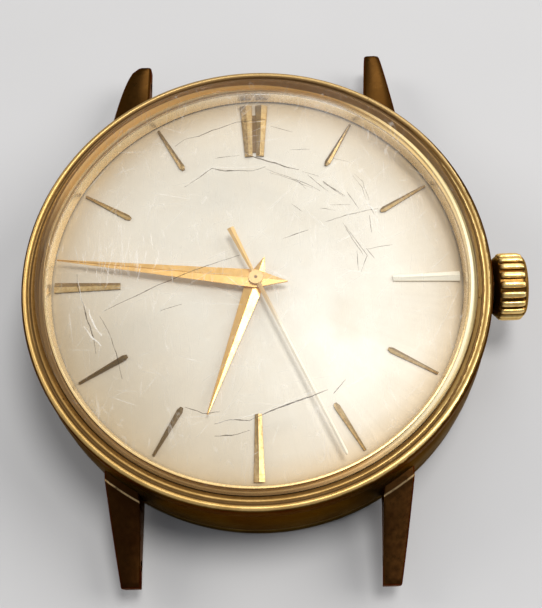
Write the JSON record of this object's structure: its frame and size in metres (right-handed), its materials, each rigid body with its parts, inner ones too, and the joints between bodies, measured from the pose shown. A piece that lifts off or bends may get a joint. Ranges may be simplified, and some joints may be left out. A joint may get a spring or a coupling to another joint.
{
  "type": "wrist watch head",
  "caption": "Round hand-wound wrist watch head with a domed acrylic glass, gold-plated case with strap lugs, applied hour markers, sweep seconds hand, winding crown and gear train.",
  "frame": {"origin": "centre of the flat underside of the case back", "axes": "+Z out through the glass, +Y to 12 o'clock, +X to 3 o'clock and the crown"},
  "size_m": [0.0392, 0.045, 0.0118],
  "materials": {
    "gold_plate": "worn polished gold plate",
    "gilt_hands": "polished gilt, faceted",
    "dial_silvered": "silvered sunburst, yellowed to cream",
    "acrylic": "clear acrylic, scratched and crazed",
    "case_back_steel": "brushed steel",
    "black_rubber": "matt black rubber",
    "grey_plastic": "moulded plastic",
    "gilt_brass": "gilt, fine circular grain",
    "nickelled_brass": "nickel plated, fine grain",
    "blued_steel": "blued steel",
    "polished_steel": "polished steel"
  },
  "bodies": {
    "case": {"case_middle": "gold_plate", "bezel": "gold_plate", "crystal": "acrylic", "tension_ring": "gold_plate", "case_back": "case_back_steel", "case_back_gasket": "black_rubber", "crown_tube": "case_back_steel", "movement_ring": "grey_plastic", "dial": "dial_silvered", "hour_marker_01": "gilt_hands", "hour_marker_02": "gilt_hands", "hour_marker_03": "gilt_hands", "hour_marker_04": "gilt_hands", "hour_marker_05": "gilt_hands", "hour_marker_06": "gilt_hands", "hour_marker_07": "gilt_hands", "hour_marker_08": "gilt_hands", "hour_marker_09": "gilt_hands", "hour_marker_10": "gilt_hands", "hour_marker_11": "gilt_hands", "hour_marker_12": "gilt_hands", "mainplate": "gilt_brass", "barrel_bridge": "nickelled_brass", "train_bridge": "nickelled_brass", "balance_cock": "nickelled_brass", "pallet_bridge": "nickelled_brass", "balance_cock_screw": "blued_steel", "hairspring": "blued_steel", "regulator": "polished_steel", "click_spring": "polished_steel"},
    "minute_work": {"centre_wheel": "gilt_brass", "cannon_pinion": "polished_steel", "minute_hand": "gilt_hands"},
    "hour_work": {"hour_wheel": "gilt_brass", "hour_hand": "gilt_hands"},
    "minute_wheel_body": {"minute_wheel": "gilt_brass"},
    "third_body": {"third_wheel": "gilt_brass"},
    "seconds_work": {"fourth_wheel": "gilt_brass", "seconds_hand": "gilt_hands"},
    "escape_body": {"escape_wheel": "polished_steel"},
    "barrel_body": {"barrel_drum": "gilt_brass", "barrel_cover": "gilt_brass", "mainspring": "polished_steel"},
    "setting_wheel_body": {"setting_wheel": "polished_steel"},
    "crown_carrier": {"crown_gasket": "black_rubber"},
    "crown_body": {"crown": "gold_plate", "winding_stem": "polished_steel"},
    "sliding_pinion_body": {"sliding_pinion": "polished_steel"},
    "winding_pinion_body": {"winding_pinion": "polished_steel"},
    "crown_wheel_body": {"crown_wheel": "polished_steel", "crown_wheel_screw": "polished_steel"},
    "ratchet_body": {"ratchet_wheel": "polished_steel", "ratchet_wheel_screw": "polished_steel", "barrel_arbor": "polished_steel"},
    "setting_lever_body": {"setting_lever": "polished_steel"},
    "yoke_body": {"yoke": "polished_steel"},
    "fork_body": {"pallet_fork": "polished_steel"},
    "balance_body": {"balance_wheel": "gilt_brass", "balance_staff": "polished_steel"},
    "click_body": {"click": "polished_steel"}
  },
  "joints": [
    {"name": "minute_turn", "type": "hinge", "parent": "case", "child": "minute_work", "pos_m": [0, 0, 0.0062], "axis": [0, 0, -1], "continuous": true},
    {"name": "hour_turn", "type": "hinge", "parent": "case", "child": "hour_work", "pos_m": [0, 0, 0.0067], "axis": [0, 0, -1], "continuous": true},
    {"name": "minute_wheel_turn", "type": "hinge", "parent": "case", "child": "minute_wheel_body", "pos_m": [0.0024, 0, 0.006], "axis": [0, 0, -1], "continuous": true},
    {"name": "third_turn", "type": "hinge", "parent": "case", "child": "third_body", "pos_m": [-0.00435, 0.00116, 0.0038], "axis": [0, 0, -1], "continuous": true},
    {"name": "seconds_turn", "type": "hinge", "parent": "case", "child": "seconds_work", "pos_m": [0, 0, 0.0035], "axis": [0, 0, -1], "continuous": true},
    {"name": "escape_turn", "type": "hinge", "parent": "case", "child": "escape_body", "pos_m": [-0.00165, -0.00286, 0.0047], "axis": [0, 0, -1], "continuous": true},
    {"name": "barrel_turn", "type": "hinge", "parent": "case", "child": "barrel_body", "pos_m": [0.0034, 0.0048, 0.0047], "axis": [0, 0, -1], "continuous": true},
    {"name": "setting_wheel_turn", "type": "hinge", "parent": "case", "child": "setting_wheel_body", "pos_m": [0.0054, 0, 0.006], "axis": [0, 0, -1], "continuous": true},
    {"name": "crown_pull", "type": "slide", "parent": "case", "child": "crown_carrier", "axis": [1, 0, 0], "range_m": [0, 0.0008]},
    {"name": "crown_turn", "type": "hinge", "parent": "crown_carrier", "child": "crown_body", "pos_m": [0, 0, 0.00492], "axis": [1, 0, 0], "continuous": true},
    {"name": "sliding_pinion_slide", "type": "slide", "parent": "crown_body", "child": "sliding_pinion_body", "axis": [1, 0, 0], "range_m": [-0.0011, 0]},
    {"name": "winding_pinion_turn", "type": "hinge", "parent": "case", "child": "winding_pinion_body", "pos_m": [0.0092, 0, 0.00492], "axis": [1, 0, 0], "continuous": true},
    {"name": "crown_wheel_turn", "type": "hinge", "parent": "case", "child": "crown_wheel_body", "pos_m": [0.00763, 0, 0.0025], "axis": [0, 0, 1], "continuous": true},
    {"name": "ratchet_turn", "type": "hinge", "parent": "case", "child": "ratchet_body", "pos_m": [0.0034, 0.0048, 0.0025], "axis": [0, 0, -1], "continuous": true},
    {"name": "setting_lever_swing", "type": "hinge", "parent": "case", "child": "setting_lever_body", "pos_m": [0.01046, -0.0019, 0.0057], "axis": [0, 0, -1], "range_deg": [0, 25]},
    {"name": "yoke_swing", "type": "hinge", "parent": "case", "child": "yoke_body", "pos_m": [0.00812, -0.0036, 0.0061], "axis": [0, 0, 1], "range_deg": [0, 5]},
    {"name": "pallet_fork_swing", "type": "hinge", "parent": "case", "child": "fork_body", "pos_m": [-0.00287, -0.00481, 0.0047], "axis": [0, 0, 1], "range_deg": [-5, 5]},
    {"name": "balance_swing", "type": "hinge", "parent": "case", "child": "balance_body", "pos_m": [-0.0043, -0.0071, 0.004], "axis": [0, 0, 1], "range_deg": [-270, 270], "stiffness_Nm_per_rad": 0.0000003},
    {"name": "click_swing", "type": "hinge", "parent": "case", "child": "click_body", "pos_m": [-0.00004, 0.0089, 0.0025], "axis": [0, 0, 1], "range_deg": [0, 10], "stiffness_Nm_per_rad": 0.000001, "springref_deg": -11.46}
  ],
  "couplings": [
    {"joint": "hour_turn", "follows": "minute_turn", "ratio": 0.083333},
    {"joint": "minute_wheel_turn", "follows": "minute_turn", "ratio": -0.33333},
    {"joint": "third_turn", "follows": "minute_turn", "ratio": -8},
    {"joint": "seconds_turn", "follows": "minute_turn", "ratio": 60},
    {"joint": "escape_turn", "follows": "minute_turn", "ratio": -600},
    {"joint": "barrel_turn", "follows": "minute_turn", "ratio": -0.15385},
    {"joint": "setting_wheel_turn", "follows": "minute_turn", "ratio": 0.5},
    {"joint": "sliding_pinion_slide", "follows": "crown_pull", "ratio": -1.3625},
    {"joint": "setting_lever_swing", "follows": "crown_pull", "rad_per_m": 537.5},
    {"joint": "yoke_swing", "follows": "crown_pull", "rad_per_m": 100.75},
    {"joint": "winding_pinion_turn", "follows": "crown_turn", "ratio": 1},
    {"joint": "crown_wheel_turn", "follows": "crown_turn", "ratio": 0.53846},
    {"joint": "ratchet_turn", "follows": "crown_turn", "ratio": 0.25926}
  ]
}
